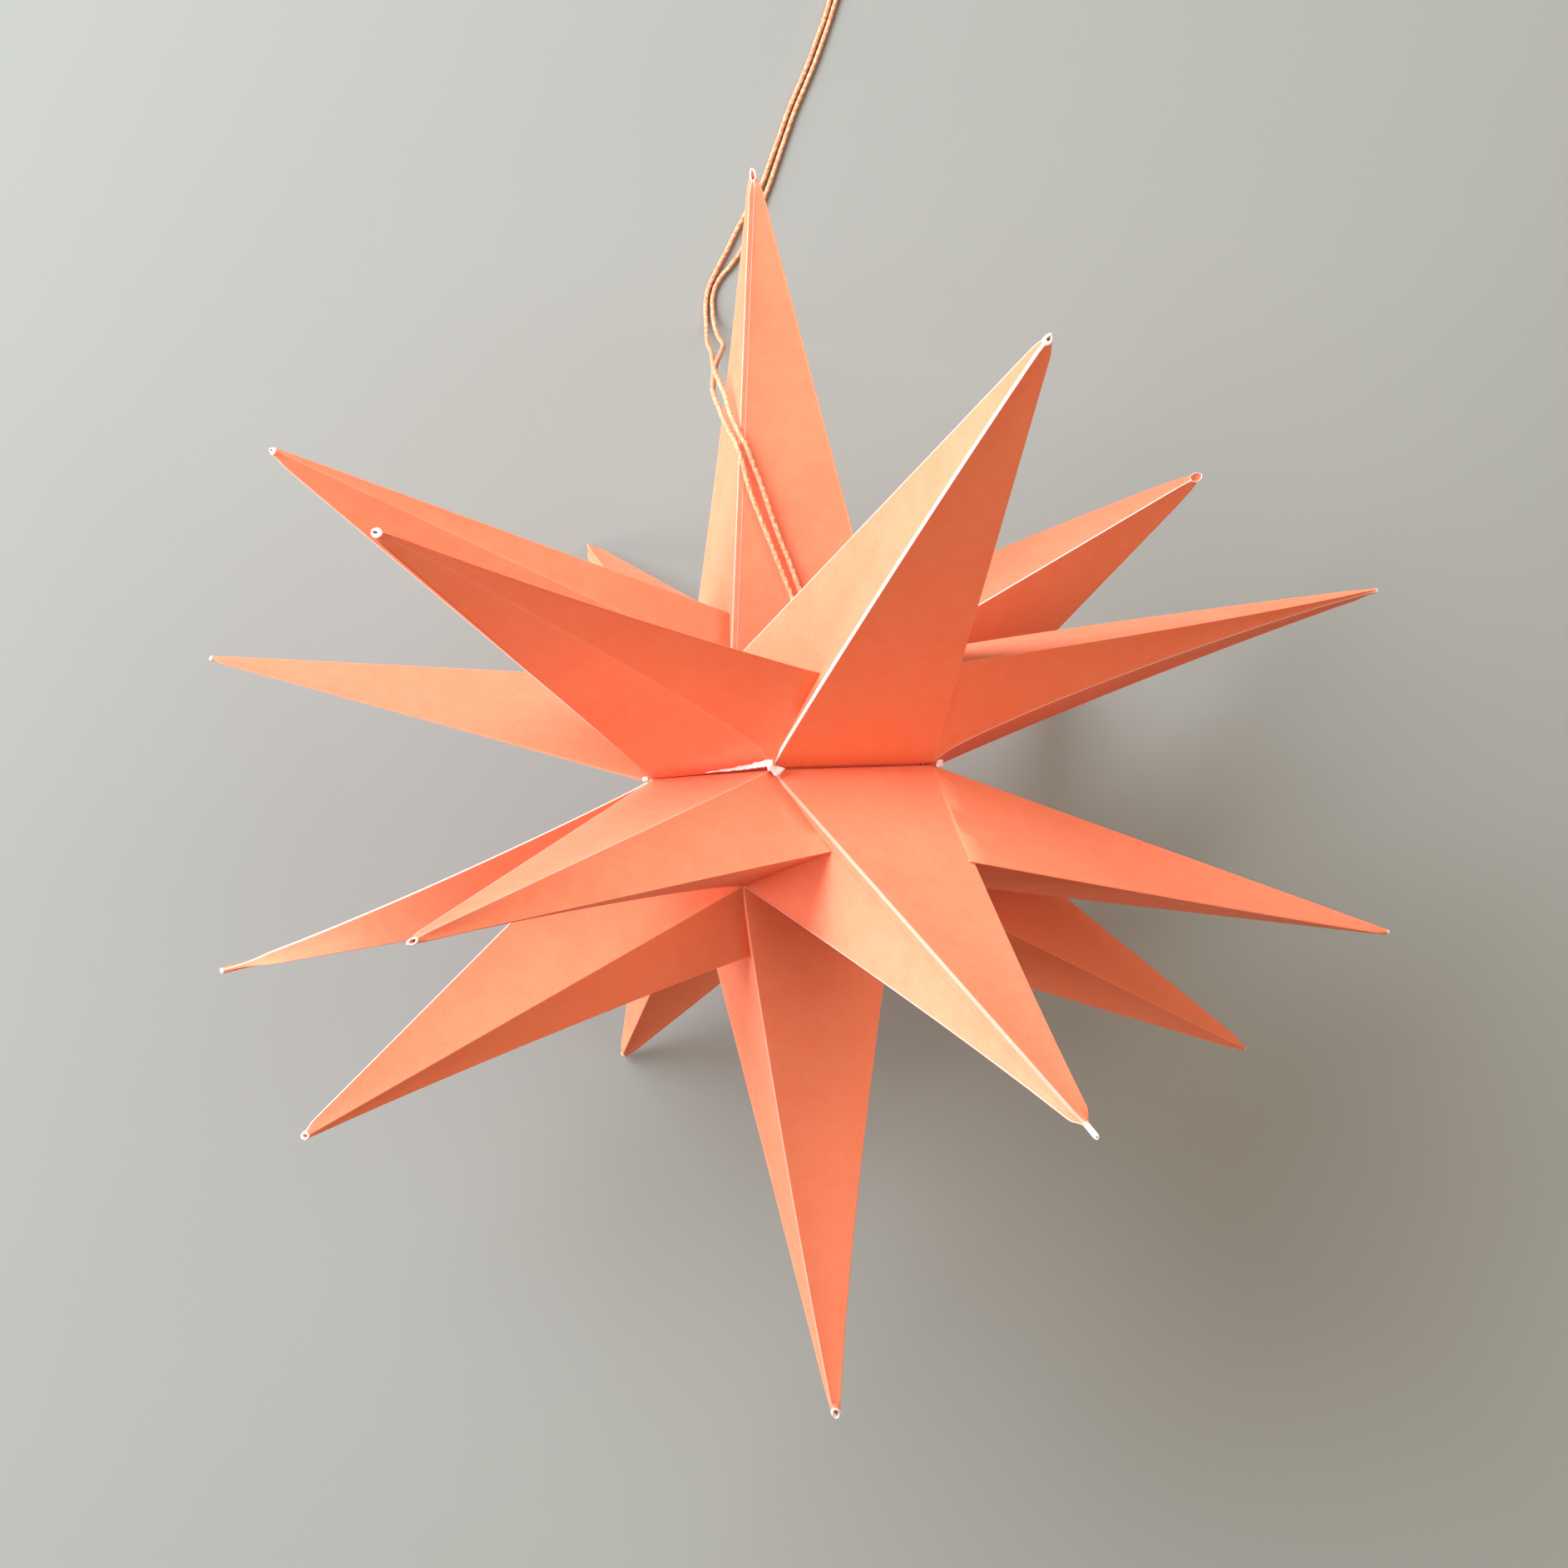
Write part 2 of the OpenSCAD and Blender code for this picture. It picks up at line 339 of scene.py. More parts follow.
# Base edges: two rows turn in, by a flange or at the seam between the halves to the floor of a groove.
# Corners beside the seam close up, more at its left end.
TURNED_ROWS = 2
FLANGE = 1.8 * MM
FLANGE_BEND = 0.6 * FLANGE
SEAM_NEAR = 2 * MM
SEAM_DEPTH = 4.5 * MM
SEAM_SLIT = 0.02 * MM
CLOSE = 0.2 * MM
CLOSE_LEFT = 0.65 * MM
LEFT_NEAR = 8 * MM
# Glue tabs: the step at their cut edge, its bare part and its foot, measured from the edge
TAB_STEP = 0.45 * MM
TAB_BARE = 0.4 * MM
TAB_FOOT = 0.1 * MM
TAB_RUN = 0.5 * MM
TAB_DROP = 0.3 * MM
TAB_LEAST = 0.3
TAB_MOST = 0.55
TINY = 1e-7

# Glued fold of each point: width of the cut edge in mm, how white it shows, and the way the fold faces
# The white is the card's core at the cut edge; the pale line on the bottom front point is a painted
# highlight along its lit fold, and the bottom left point's edge is whitened further as a painted highlight
GLUED = {
    "top_front_point": (1.0, 1.0, (-0.6, -0.5, 0.6)),
    "top_right_point": (0.55, 1.0, (0.2, 0.1, 1)),
    "top_front_right_point": (0.5, 1.0, (0, -0.8, 0.5)),
    "top_pole_point": (0.4, 0.2, (-0.4, 0, 0.9)),
    "top_front_left_point": (0.4, 0.5, (-0.8, -0.4, -0.4)),
    "top_left_point": (0.9, 0.55, (-0.4, -0.8, 0.4)),
    "top_back_left_point": (0.4, 0.2, (0, -0.8, -0.5)),
    "top_back_point": (0.6, 0.8, (-0.9, -0.5, 0)),
    "top_back_right_point": (0.6, 1.0, (0.8, -0.4, 0.4)),
    "bottom_front_point": (1.1, 0.16, (-0.6, 0.5, 0.6)),
    "bottom_right_point": (0.5, 0.8, (-0.4, -0.8, -0.3)),
    "bottom_front_right_point": (0.5, 0.7, (-0.5, -0.8, -0.2)),
    "bottom_pole_point": (0.5, 0.15, (-0.4, 0, 0.9)),
    "bottom_front_left_point": (0.4, 0.15, (0.4, 0.8, 0.3)),
    "bottom_left_point": (0.7, 0.6, (-0.4, 0.8, 0.4)),
    "bottom_back_left_point": (0.8, 0.35, (0, 0.3, 1)),
    "bottom_back_point": (0.6, 0.8, (-0.9, 0.5, 0)),
    "bottom_back_right_point": (0.6, 1.0, (0.8, 0.4, 0.4)),
}
# Rolled tips in mm: width, how far the opening is cut back on top, bare rim, length that is rolled and
# its run-in. The last number is the share of the width that stays open.
ROLLED = {
    "top_pole_point": (2.4, 5.0, 0.9, 6, 6, 0.9),
    "top_front_point": (3.0, 2.2, 2.8, 7, 7, 0.5),
    "top_right_point": (4.0, 8.0, 0.8, 7, 7, 1),
    "top_front_right_point": (2.0, 1.2, 0.6, 9, 9, 0.9),
    "top_front_left_point": (3.4, 1.6, 2.6, 7, 7, 0.3),
    "top_left_point": (2.6, 1.0, 1.8, 7, 7, 0.5),
    "top_back_left_point": (1.8, 0.5, 1.6, 7, 7, 0.8),
    "top_back_point": (1.6, 0.4, 0.3, 8, 8, 0.8),
    "top_back_right_point": (2.6, 1.0, 1.0, 7, 7, 1),
    "bottom_front_point": (1.9, 0.5, 9, 12, 6, 0.6),
    "bottom_right_point": (1.6, 0.4, 0.3, 8, 8, 0.8),
    "bottom_front_right_point": (2.0, 0.6, 1.6, 7, 7, 0.7),
    "bottom_pole_point": (3.6, 3.4, 2.4, 6, 4, 0.7),
    "bottom_front_left_point": (2.3, 2.8, 1.0, 7, 7, 0.9),
    "bottom_left_point": (2.8, 1.6, 1.0, 6, 6, 0.9),
    "bottom_back_left_point": (2.2, 0.6, 2.2, 22, 18, 0.7),
    "bottom_back_point": (3.2, 2.2, 1.0, 7, 7, 1),
    "bottom_back_right_point": (2.6, 1.0, 1.0, 7, 7, 1),
}
# Folds that bow: the way the fold faces, its shift in mm, and where along it that is greatest.
# A shift whose place is 0 is greatest at the base.
BOWED = {
    "top_pole_point": [((-0.9, 0, -0.5), (1.8, 0, 0), 0.5)],
    "top_front_point": [((-0.6, -0.5, 0.6), (-1.2, 0.4, 0), 0.5)],
    "top_right_point": [((-0.4, 0.8, -0.3), (-0.8, 1.8, 0), 0.45)],
    "top_front_right_point": [
        ((0, -0.8, 0.5), (0, 5.2, 3.5), 0.4),
        ((0, -0.3, -0.95), (0, 2.4, 0), 0.5),
        ((-0.5, 0.8, -0.2), (0, 1.6, 0), 0.35),
        ((0.2, 0.3, 0.9), (-3.4, -7.3, -8), 0),
        ((0.2, 0.3, 0.9), (0, -2.2, -3), 0.6),
    ],
    "top_front_left_point": [
        ((0.4, -0.8, 0.3), (1.5, 4.6, 0), 0.25),
        ((0.7, 0.3, 0.7), (0, -2, 0), 0.55),
        ((-0.8, -0.4, -0.4), (0, 0, 6), 0.45),
    ],
    "top_left_point": [((-0.1, 0.1, -1), (0, 2.6, 0), 0.4)],
    "top_back_left_point": [
        ((0, 0.3, -1), (0.4, 1.2, 0), 0.5),
        ((0, -0.8, -0.5), (0.8, 1, 0), 0.6),
        ((0, -0.8, -0.5), (0, 1.5, 0), 0),
        ((0, -0.3, 0.95), (0, -1.5, 0), 0),
    ],
    "bottom_front_point": [((-0.9, -0.5, 0), (0.9, 1.2, 6), 0.6), ((0.9, 0.5, 0), (-1, 0, -5), 0.6)],
    "bottom_front_right_point": [((0.2, -0.4, 0.9), (-0.4, 4, 0), 0), ((0, 0.3, -1), (0, 1.4, 0), 0.4)],
    "bottom_pole_point": [((0.9, 0, 0.4), (-2.6, 0, 0), 0.6), ((-0.4, 0, 0.9), (-1.5, 0, 0), 0.5)],
    "bottom_left_point": [((0.4, -0.8, 0.3), (-0.6, 0.5, -6), 0.5), ((0.4, -0.8, 0.3), (0, -6, 0), 0)],
    "bottom_front_left_point": [
        ((0.7, -0.3, 0.7), (0, 0.5, -10), 0.5),
        ((-0.1, -0.8, -0.6), (0, 2, 0), 0.45),
    ],
    "bottom_back_left_point": [
        ((0, 0.3, 1), (0, -2.6, -9), 0.55),
        ((0, 0.8, -0.5), (0, -2.4, 0), 0.6),
        ((0.5, -0.85, 0.2), (0, 0, 8), 0.55),
    ],
}
# Folds on the outside of the star that get a painted highlight, a pale line where the window light catches
# the fold, by the way they face
WINDOW_LIT_FOLDS = {
    "top_pole_point": (-0.9, 0, -0.5),
    "top_front_point": (-0.9, 0.5, 0),
    "top_left_point": (-0.1, 0.1, -1),
    "bottom_front_point": (-0.9, -0.5, 0),
    "bottom_pole_point": (-0.9, 0, -0.5),
    "bottom_left_point": (-0.4, 0.8, 0.4),
    "bottom_front_left_point": (-0.8, 0.4, -0.4),
    "top_front_left_point": (-0.8, -0.4, -0.4),
    "bottom_front_right_point": (-0.5, -0.8, -0.2),
}
# Glue tabs that show: the way the face with the tab looks, the tab's width in mm, and how white its edge is
TABS = {
    "top_pole_point": ((0.6, 0, 0.8), 2.0, 0.7),
    "bottom_front_point": ((-0.8, -0.1, 0.6), 3.2, 0.0),
}

CORE_DARK = linear(240, 228, 216)
CORE_PALE = linear(255, 251, 246)
core = Finish("card_core", roughness=0.8, specular=0.2)
core.colour(core.mix(core.noise(1500, 3).ramp(0.3, 0.7), CORE_DARK, CORE_PALE))

CARD_DEEP = linear(252, 139, 100)
CARD_PALE = linear(252, 146, 107)
CARD_GRAIN = linear(255, 190, 150)
CARD_WORN_AND_LIT = linear(255, 206, 172)
CARD_BARE_AND_HIGHLIGHT = linear(255, 248, 240)
card = Finish("coral_card", roughness=0.55, specular=0.08)
card.shader.inputs["Sheen Weight"].default_value = 0.04
card.shader.inputs["Sheen Roughness"].default_value = 0.35
card.shader.inputs["Sheen Tint"].default_value = (1, 0.93, 0.85, 1)
mottle = card.noise(30, 3)
grain = card.noise(1400, 4)
blotch = card.noise(160, 4)
sheet = card.mix((mottle * 0.5 + blotch * 0.5).ramp(0.36, 0.64), CARD_DEEP, CARD_PALE)
sheet = card.mix(grain.ramp(0.4, 0.75) * 0.16, sheet, CARD_GRAIN)
# Paler along every fold: partly wear of the creased card, partly a painted highlight on the rounded fold
fold_wear_and_highlight = (card.attribute("fold") * (0.7 + 0.3 * card.noise(90, 3))).ramp(0.35, 1.0)
sheet = card.mix(fold_wear_and_highlight * 0.15, sheet, CARD_WORN_AND_LIT)
frayed = (card.noise(700, 3) - 0.5) * 0.3
# White where the card's core shows at cut edges and tab edges, and a painted highlight along the folds that
# face the window
bare_and_highlight = (card.attribute("raw_and_highlight") + frayed).ramp(0.4, 0.55) * card.attribute("white")
tip_wear = (card.attribute("tip") * (1 + 3 * frayed)).ramp(0.1, 0.5)
card.colour(card.mix(bare_and_highlight | tip_wear, sheet, CARD_BARE_AND_HIGHLIGHT))
card.relief(grain * 0.15 + card.noise(85, 3), 0.16 * MM)

ties = [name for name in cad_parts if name.startswith("tie_")]
corners = {}
for name in ties:
    low, high = (Vector(corner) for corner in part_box(name))
    corners[name] = (low + high) / 2
star_centre = sum(corners.values(), Vector()) / len(ties)


def outer_folds(name):
    """The four folds of a point's outer form in order round it, each from its base to its tip."""
    hull = bmesh.new()
    hull.from_mesh(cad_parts[name].data)
    bmesh.ops.delete(hull, geom=hull.edges[:], context="EDGES_FACES")
    bmesh.ops.remove_doubles(hull, verts=hull.verts, dist=0.01 * MM)
    bmesh.ops.convex_hull(hull, input=hull.verts)
    bent = [e for e in hull.edges if len(e.link_faces) == 2 and e.calc_face_angle() > FOLD_ANGLE]
    bent.sort(key=lambda e: e.calc_length())
    folds = []
    for edge in bent[-4:]:
        ends = [vert.co.copy() for vert in edge.verts]
        folds.append(sorted(ends, key=lambda end: (end - star_centre).length))
    hull.free()
    foot = sum((base for base, _ in folds), Vector()) / 4
    axis = (sum((tip for _, tip in folds), Vector()) / 4 - foot).normalized()
    first = axis.orthogonal()
    second = axis.cross(first)
    folds.sort(key=lambda f: math.atan2((f[0] - foot).dot(second), (f[0] - foot).dot(first)))
    return folds


def smooth(share):
    """Rises smoothly from 0 to 1 as the share does."""
    share = min(1.0, max(0.0, share))
    return share * share * (3 - 2 * share)


def bow(along, peak):
    """Share of a fold's shift at a place along it."""
    if peak == 0:
        return (1 - along) ** BOW_FADE
    centred = along ** (math.log(0.5) / math.log(peak))
    return max(0.0, math.sin(math.pi * centred)) ** BOW_FULLNESS


def closed_up(corner):
    """A base corner, brought nearer to the seam if it lies beside it."""
    if abs(corner.y - star_centre.y) >= SEAM_NEAR:
        return corner
    at_left = (corner - corners["tie_left"]).length < LEFT_NEAR
    shift = CLOSE_LEFT if at_left else CLOSE
    return corner + Vector((0, math.copysign(shift, star_centre.y - corner.y), 0))


def turned_in(place, last):
    """A place on a base edge moved inwards, as a flange or beside the seam as a flat-floored groove."""
    at_seam = abs(place.y - star_centre.y) < SEAM_NEAR
    depth = SEAM_DEPTH if at_seam else FLANGE if last else FLANGE_BEND
    turned = place + (star_centre - place).normalized() * depth
    if at_seam:
        meets = star_centre.y + math.copysign(SEAM_SLIT, place.y - star_centre.y)
        turned.y = meets if last else place.y
    return turned


def face_marks(span):
    """Distances across a face from one fold to the next, closer together beside the folds."""
    edge = min(EDGE_MARK, 0.1 * span)
    inner = min(INNER_MARK, 0.2 * span)
    between = [inner + (span - 2 * inner) * n / SIDE_STEPS for n in range(1, SIDE_STEPS)]
    return [edge, inner, *between, span - inner, span - edge]


def tab_lines(tab):
    """Distances from the glued fold at which a tab starts to step down, shows bare, ends and lies flat."""
    return [max(TAB_LEAST * tab, tab + shift) for shift in (-TAB_STEP, -TAB_BARE, 0, TAB_FOOT)]


def tab_marks(marks, lines, span, tab_after):
    """As many distances across a face as there were, with one on each line of its tab."""
    inner = marks[1]
    far = [line if tab_after else span - line for line in lines]
    ladder = sorted(marks[:2] + marks[-2:] + far)
    first, last = (far[-1], span - inner) if tab_after else (inner, far[-1])
    rest = [first + (last - first) * share for share in np.linspace(0, 1, SIDE_STEPS - 2)[1:-1]]
    return sorted(ladder + rest[: len(marks) - len(ladder)])


def card_piece(name, rows, marked):
    """Joins the rings of a point into a sheet of card, with the marks that its finish reads."""
    count = len(rows[0])
    quads = [
        (r * count + c, r * count + (c + 1) % count, (r + 1) * count + (c + 1) % count, (r + 1) * count + c)
        for r in range(len(rows) - 1)
        for c in range(count)
    ]
    mesh = bpy.data.meshes.new(name + "_card")
    mesh.from_pydata([place for ring in rows for place in ring], [], quads)
    for number, label in enumerate(("raw_and_highlight", "fold", "white", "tip")):
        layer = mesh.attributes.new(label, "FLOAT", "POINT")
        layer.data.foreach_set("value", [values[number] for ring in marked for values in ring])
    mesh.materials.append(card.material)
    mesh.materials.append(core.material)
    mesh.shade_smooth()
    mesh.set_sharp_from_angle(angle=SHARP_ANGLE)
    piece = bpy.data.objects.new(name + "_card", mesh)
    bpy.context.collection.objects.link(piece)
    wall = piece.modifiers.new("card", "SOLIDIFY")
    wall.thickness = CARD
    wall.offset = -1
    wall.material_offset_rim = 1
    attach(piece, "root")
    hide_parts(name)


def fold_point(name, seed):
    """Builds one point as a sheet that follows its outer corners, pulled in a little between its folds."""
    base, tip = (list(ends) for ends in zip(*outer_folds(name)))
    middle = sum(base, Vector()) / 4
    reach = sum(tip, Vector()) / 4 - middle
    axis = reach.normalized()

    def facing(way):
        return max(range(4), key=lambda k: (base[k] - middle).normalized().dot(Vector(way)))

    edge_width, whiteness, faces = GLUED[name]
    glued = facing(faces)
    # A fold that faces the window gets a painted highlight, marked like a cut edge
    lit_fold = facing(WINDOW_LIT_FOLDS[name]) if name in WINDOW_LIT_FOLDS else None
    widths = [LIT_FOLD_WIDTH if k == lit_fold else FOLD_WIDTH for k in range(4)]
    widths[glued] = edge_width * MM
    bows = [(facing(way), Vector(shift) * MM, peak) for way, shift, peak in BOWED.get(name, [])]
    tab_way, tab_width, tab_white = TABS.get(name, (None, 0, 0))
    tab_after = False
    tabbed = None
    if tab_way:
        after_side = (base[glued] + base[(glued + 1) % 4]) / 2 - middle
        before_side = (base[glued] + base[glued - 1]) / 2 - middle
        tab_after = after_side.dot(Vector(tab_way)) > before_side.dot(Vector(tab_way))
        tabbed = glued if tab_after else (glued - 1) % 4
    roll_width, cut_back, bare_rim, roll_length, run_in = (value * MM for value in ROLLED[name][:5])
    mouth = ROLLED[name][5]
    upward = Vector((0, 0, 1))
    upward = (upward - axis * upward.dot(axis)).normalized()
    rng = np.random.default_rng(seed)
    pull = PULL * rng.uniform(*PULL_RANGE, 4)
    wave = rng.uniform(0, math.tau, (4, 2))
    nick = rng.uniform(0, math.tau, 3)

    def round_fold(k, start, here, stop):
        """Places round a fold, each with its cut edge and painted highlight mark, how near a fold and how
        white it is.
        """
        bare_and_highlight = float(k in (glued, lit_fold))
        white = whiteness if k == glued else LIT_FOLD_WHITE
        ring = []
        for step in range(ROUND_STEPS + 1):
            t = step / ROUND_STEPS
            flat = start.lerp(stop, t)
            bent = start.lerp(here, t).lerp(here.lerp(stop, t), t)
            ring.append((flat if k == glued else bent, bare_and_highlight, 1.0, white))
        return ring

    def across_face(k, along, start, ahead, inward, span):
        """Places across the face after a fold, marked in the same way."""
        marks = face_marks(span)
        tab = min(tab_width * MM, TAB_MOST * span)
        lines = tab_lines(tab)
        if k == tabbed:
            marks = tab_marks(marks, lines, span, tab_after)
        ring = []
        for mark in marks:
            t = mark / span
            dip = pull[k] * math.sin(math.pi * t) * math.sin(math.pi * along) ** 0.7
            dip *= 1 + 0.4 * math.sin(5 * along + wave[k][0]) * math.sin(3 * t + wave[k][1])
            near = math.exp(-min(mark, span - mark) / FOLD_GLOW)
            bare_and_highlight = 0.0
            white = 0.0
            if k == tabbed:
                from_fold = mark if tab_after else span - mark
                dip += TAB_DROP * smooth((from_fold - tab + TAB_STEP) / TAB_RUN)
                bare_and_highlight = float(lines[1] - TINY <= from_fold <= lines[2] + TINY)
                white = tab_white
            ring.append((start + ahead * mark + inward * dip, bare_and_highlight, near, white))
        return ring

    def whole_ring(at, heart, along):
        """Places all round the point, fold by fold and face by face."""
        ring = []
        for k in range(4):
            here, after, before = at[k], at[(k + 1) % 4], at[k - 1]
            side = after - here
            ahead = side.normalized()
            back = (before - here).normalized()
            cut = min(widths[k] * CUT_SHARE, CUT_LIMIT * min(side.length, (here - before).length))
            next_cut = min(widths[(k + 1) % 4] * CUT_SHARE, CUT_LIMIT * side.length)
            stop = here + ahead * cut
            inward = (heart - here.lerp(after, 0.5)).normalized()
            ring += round_fold(k, here + back * cut, here, stop)
            ring += across_face(k, along, stop, ahead, inward, side.length - cut - next_cut)
        return ring

    def rolled(place, heart, to_tip):
        """A place drawn in to the rolled end as it nears the tip, and cut back unevenly at the opening."""
        spoke = place - heart
        spoke = (spoke - axis * spoke.dot(axis)).normalized()
        roll = smooth((roll_length - to_tip) / run_in)
        pinch = 1 - (1 - mouth) * smooth(1 - to_tip / PINCH)
        drawn = place.lerp(heart + spoke * roll_width / 2 * pinch, roll)
        bearing = math.atan2(spoke.cross(upward).dot(axis), spoke.dot(upward))
        ragged = 0.25 * sum(math.sin((n + 2) * bearing + nick[n]) for n in range(3))
        back_off = cut_back * (0.5 + 0.5 * spoke.dot(upward)) + min(cut_back, RAGGED) * 0.35 * ragged
        return drawn - axis * back_off * max(0.0, 1 - to_tip / max(2.2 * cut_back, RAGGED))

    base = [closed_up(corner) for corner in base]
    rows = []
    marked = []
    for row in range(-TURNED_ROWS, ROWS + 1):
        along = 1 - (1 - max(row, 0) / ROWS) ** ROW_CROWDING
        to_tip = (1 - along) * reach.length
        at = [low.lerp(high, along) for low, high in zip(base, tip)]
        for k, shift, peak in bows:
            at[k] = at[k] + shift * bow(along, peak)
        heart = sum(at, Vector()) / 4
        ring = whole_ring(at, heart, along)
        placed = [rolled(place, heart, to_tip) for place, *_ in ring]
        if row < 0:
            placed = [turned_in(place, row == -TURNED_ROWS) for place in placed]
        rows.append(placed)
        rim = max(0.0, 1 - to_tip / bare_rim)
        marked.append([(bare_and_highlight, near, white, rim) for _, bare_and_highlight, near, white in ring])
    card_piece(name, rows, marked)


for seed, name in enumerate(sorted(GLUED)):
    fold_point(name, seed)


# Ties: short ends of white cotton thread, knotted at the corners of the seam to hold the halves together.
# The spread is how far a knot's lobes reach, sideways and along the star, as a share of the full reach.
TIE_D = 0.9 * MM
TIE_PLY_D = 0.55 * MM
TIE_PITCH = 2.4 * MM
TIE_STEP = 0.12 * MM
TIE_STEPS = 36
TIE_SPIN = 0.7
LOBE_MIDDLE = 0.66
LOBE_SWELL = 0.34
LOBE_HEIGHT = 0.7
USUAL_SPREAD = (0.9, 0.9)
TIE_SPREAD = {"tie_right": (1.0, 1.4), "tie_left": (0.7, 0.7)}
COTTON_DARK = linear(236, 226, 216)
COTTON_PALE = linear(255, 252, 248)
cotton = Finish("white_cotton", roughness=0.9, specular=0.15)
cotton.colour(cotton.mix(cotton.noise(1800, 3).ramp(0.3, 0.7), COTTON_DARK, COTTON_PALE))
thread_sizes = {"Width": TIE_D, "Ply width": TIE_PLY_D, "Pitch": TIE_PITCH, "Step": TIE_STEP}
for number, name in enumerate(sorted(ties)):
    low, high = (Vector(corner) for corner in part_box(name))
    wide_by, tall_by = TIE_SPREAD.get(name, USUAL_SPREAD)
    reach = (high.x - low.x - TIE_D) / 2
    lobes = []
    for step in range(TIE_STEPS):
        turn = math.tau * step / TIE_STEPS
        wide = (LOBE_MIDDLE + LOBE_SWELL * math.cos(3 * turn)) * reach * wide_by
        spin = 2 * turn + TIE_SPIN * number
        tall = LOBE_HEIGHT * reach * tall_by * math.sin(3 * turn)
        lobes.append(corners[name] + Vector((wide * math.cos(spin), tall, wide * math.sin(spin))))
    knotted = lay_thread(name + "_thread", lobes, True, thread_nodes, thread_sizes, cotton)
    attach(knotted, "root")
    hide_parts(name)


# The front tie has torn through the card, which shows its white core there as a long scar and a loose
# flake. Their edges are pairs of lower and upper points in mm, along and across a face from the tie.
SHRED_CARD = 0.2 * MM
SHRED_STEPS = 8
SHRED_COLUMNS = 7
SHRED_JAG = 0.22
SHRED_WAVE = 0.12
SHRED_CLEAR = 0.28
SHRED_LOOKS = Vector((-0.3, 0.35, 0.85))
SCAR_EDGES = [
    ((-1.5, 1.2), (-2, 3.6)), ((2, 0.9), (1.5, 3.4)), ((8, 0.7), (8, 2.5)),
    ((16, 0.5), (16, 1.6)), ((25, 0.7), (25, 0.9)),
]
FLAKE_EDGES = [
    ((-1.1, -1), (-0.2, -1.3)), ((-0.5, 1.2), (1.9, -0.4)), ((0.3, 3.4), (3.6, 0.5)),
    ((1.2, 4.2), (5, 1.2)),
]


def torn_sheet(name, foot, ahead, across, out, edge_pairs, lift, seed):
    """A ragged shred of card on a face, whose upper edge lifts by the given mm."""
    rng = np.random.default_rng(seed)
    edges = np.array(edge_pairs, dtype=float)
    spans = len(edges) - 1
    stations = np.linspace(0, spans, SHRED_STEPS * spans + 1)
    verts = []
    for station in stations:
        low, high = (
            [np.interp(station, range(spans + 1), edges[:, side, axis]) for axis in (0, 1)]
            for side in (0, 1)
        )
        jag = rng.uniform(-SHRED_JAG, SHRED_JAG, 2)
        for column in range(SHRED_COLUMNS):
            t = column / (SHRED_COLUMNS - 1)
            u = low[0] + (high[0] - low[0]) * t
            v = low[1] + jag[0] + (high[1] - low[1] + jag[1] - jag[0]) * t
            curl = lift * (t ** 2) + SHRED_WAVE * math.sin(1.3 * station + 4 * t) + SHRED_CLEAR
            verts.append(foot + (ahead * u + across * v + out * curl) * MM)
    faces = []
    for r in range(len(stations) - 1):
        for c in range(SHRED_COLUMNS - 1):
            here = r * SHRED_COLUMNS + c
            faces.append((here, here + 1, here + SHRED_COLUMNS + 1, here + SHRED_COLUMNS))
    mesh = bpy.data.meshes.new(name)
    mesh.from_pydata(verts, [], faces)
    shell = bmesh.new()
    shell.from_mesh(mesh)
    if sum((face.normal for face in shell.faces), Vector()).dot(out) < 0:
        bmesh.ops.reverse_faces(shell, faces=shell.faces)
    shell.to_mesh(mesh)
    shell.free()
    mesh.materials.append(core.material)
    mesh.shade_smooth()
    piece = bpy.data.objects.new(name, mesh)
    bpy.context.collection.objects.link(piece)
    wall = piece.modifiers.new("paper", "SOLIDIFY")
    wall.thickness = SHRED_CARD
    wall.offset = -1
    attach(piece, "root")


def face_frame(foot, beside, tip):
    """Directions along one edge of a face, across the face from that edge, and upwards out of it."""
    ahead = (beside - foot).normalized()
    across = (tip - foot) - ahead * (tip - foot).dot(ahead)
    out = ahead.cross(across).normalized()
    return ahead, across.normalized(), out if out.z > 0 else -out


def turned_to_light(ahead, across):
    """The direction across a lifted shred, turned so that the shred looks up and to the left."""
    lifted = ahead.cross(SHRED_LOOKS).normalized()
    lifted = lifted if lifted.dot(across) > 0 else -lifted
    return (across + lifted).normalized()


def tip_of(name):
    return sum((tip for _, tip in outer_folds(name)), Vector()) / 4


front = corners["tie_front"]
for name, beside, point, edges, lift, seed in (
    ("torn_scar", "tie_left", "top_front_left_point", SCAR_EDGES, 0.4, 5),
    ("torn_flake", "tie_right", "bottom_front_point", FLAKE_EDGES, 0.6, 6),
):
    ahead, across, out = face_frame(front, corners[beside], tip_of(point))
    torn_sheet(name, front, ahead, turned_to_light(ahead, across), out, edges, lift, seed)


# Stage: a plain pale floor under soft light from a window at the upper left of the picture, with a weaker
# lamp low at the left and a warm one at the right.
FLOOR_HALF = 3
FLOOR_SHOWN = linear(146, 151, 142)
FLOOR_BOUNCE = (0.24, 0.15, 0.1, 1)
WORLD_SHOWN = linear(214, 212, 209)
WORLD_BOUNCE = (0.3, 0.17, 0.095, 1)
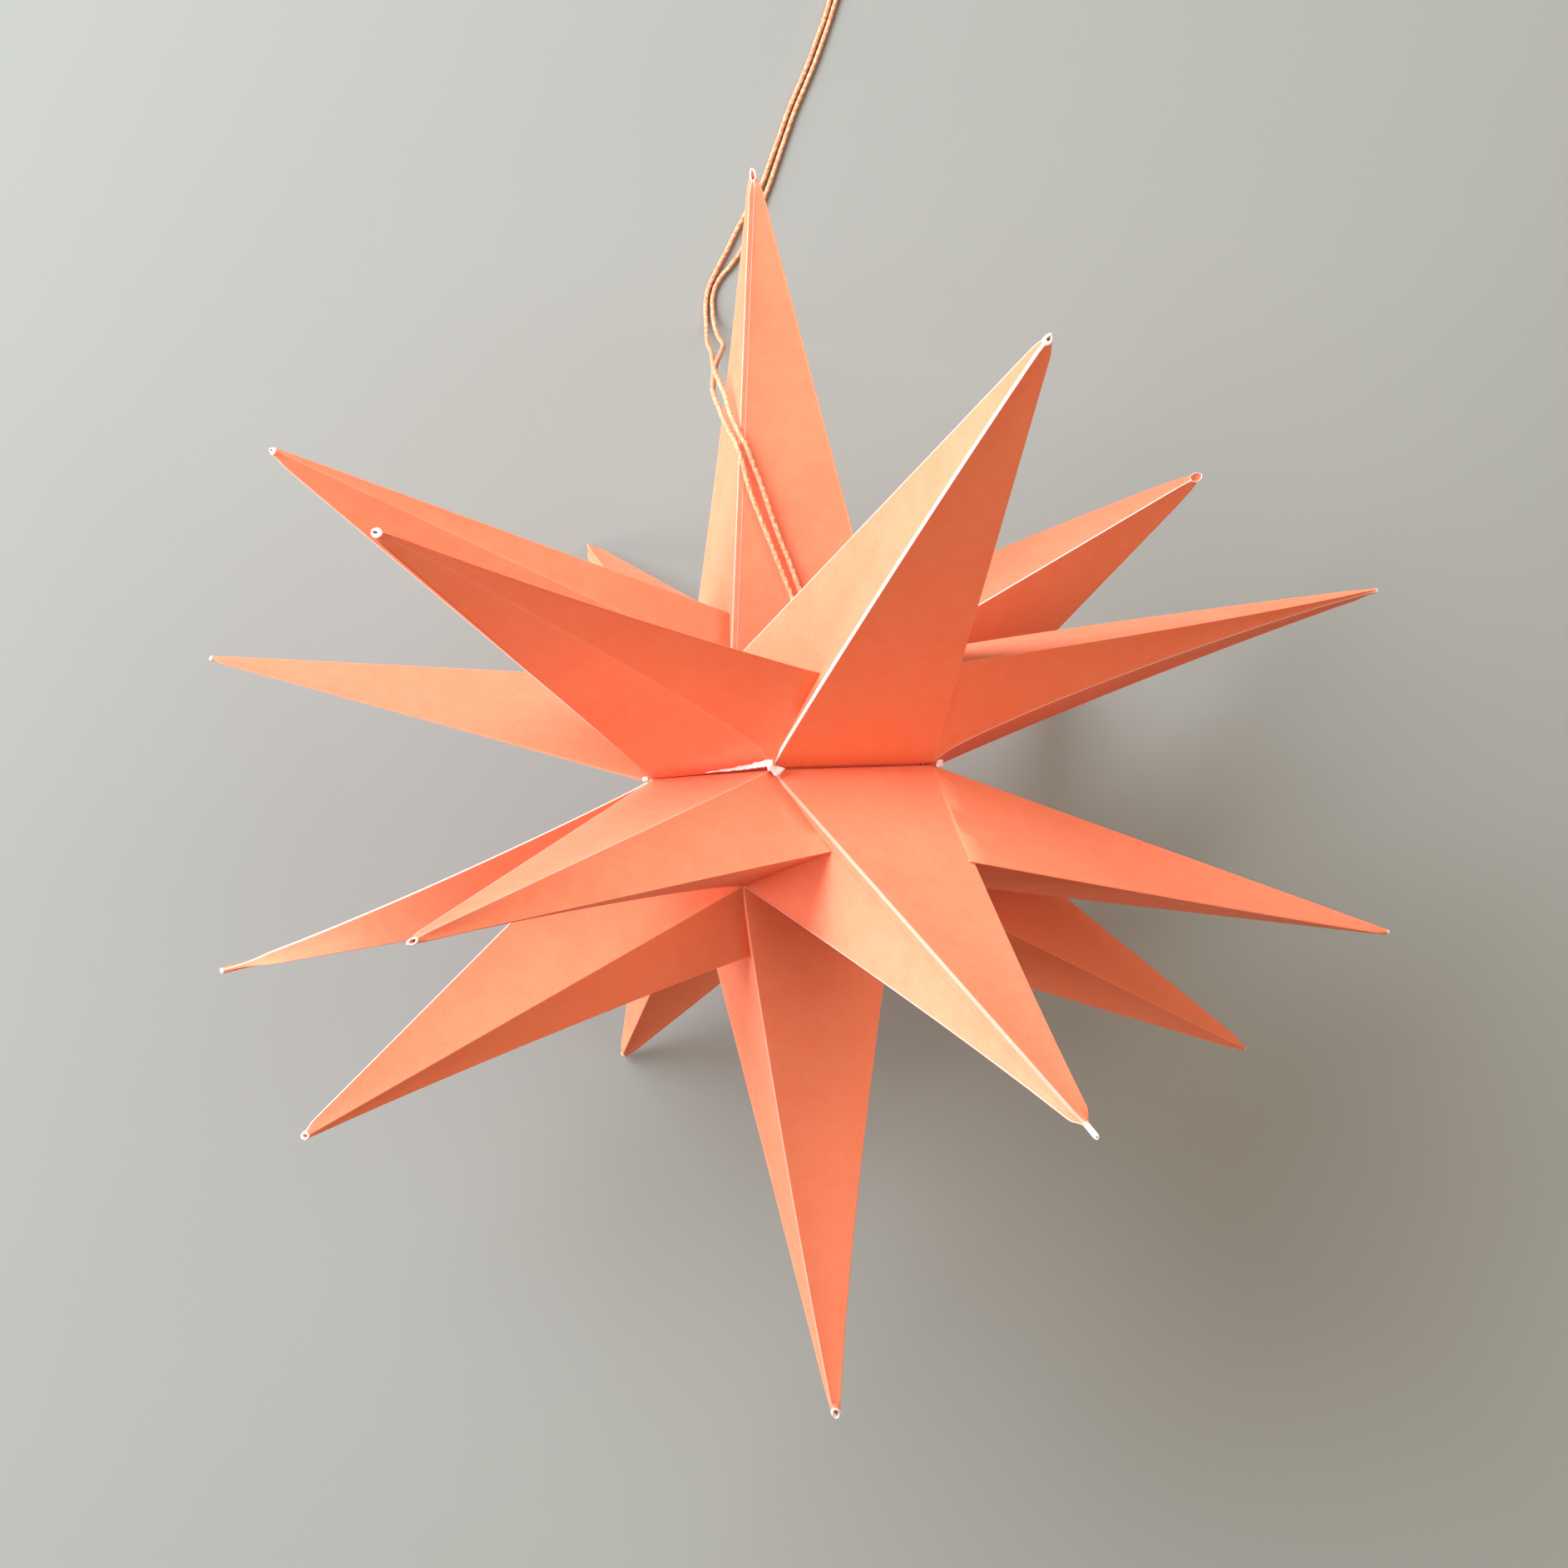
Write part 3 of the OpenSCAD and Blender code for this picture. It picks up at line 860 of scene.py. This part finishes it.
# Lamps: name, watts, colour, place in m, and size in m (width and height, or the width of a disk)
LAMPS = [
    ("window", 104, (0.93, 0.97, 1.13), (-1.31, 1.16, 1.51), (2.2, 1.2)),
    ("warm_wall", 21, (1.0, 0.93, 0.85), (1.4, 0.1, 1.86), (1.8,)),
    ("side_window", 30, (1.0, 0.97, 1.1), (-1.93, -0.20, 0.66), (1.1,)),
]


def seen_directly(tree):
    """1 for what the camera sees straight, in a gloss or through glass, and 0 for light that bounces."""
    rays = tree.nodes.new("ShaderNodeLightPath").outputs
    return Value(rays["Is Camera Ray"]) | Value(rays["Is Glossy Ray"]) | Value(rays["Is Transmission Ray"])


floor_finish = Finish("pale_floor", roughness=0.9, specular=0.1)
floor_seen = seen_directly(floor_finish.tree)
floor_finish.colour(floor_finish.mix(floor_seen, FLOOR_BOUNCE, FLOOR_SHOWN))
floor_corners = [(x * FLOOR_HALF, y * FLOOR_HALF, 0) for x, y in ((-1, -1), (1, -1), (1, 1), (-1, 1))]
floor_mesh = bpy.data.meshes.new("floor")
floor_mesh.from_pydata(floor_corners, [], [(0, 1, 2, 3)])
floor_mesh.materials.append(floor_finish.material)
floor = bpy.data.objects.new("floor", floor_mesh)
bpy.context.collection.objects.link(floor)

for name, watts, colour, place, size in LAMPS:
    light = bpy.data.lights.new(name, "AREA")
    light.shape = "RECTANGLE" if len(size) == 2 else "DISK"
    light.size = size[0]
    light.size_y = size[-1]
    light.energy = watts
    light.color = colour
    lamp = bpy.data.objects.new(name, light)
    bpy.context.collection.objects.link(lamp)
    lamp.location = place
    lamp.rotation_euler = (star_centre - Vector(place)).to_track_quat("-Z", "Y").to_euler()

world = bpy.data.worlds.new("studio")
world.use_nodes = True
ambient = add_node(
    world.node_tree, "ShaderNodeMix", {"data_type": "RGBA"},
    {0: seen_directly(world.node_tree), 6: WORLD_BOUNCE, 7: WORLD_SHOWN},
)
world.node_tree.links.new(ambient.outputs[2], world.node_tree.nodes["Background"].inputs["Color"])
bpy.context.scene.world = world
bpy.context.scene.view_settings.view_transform = "Standard"
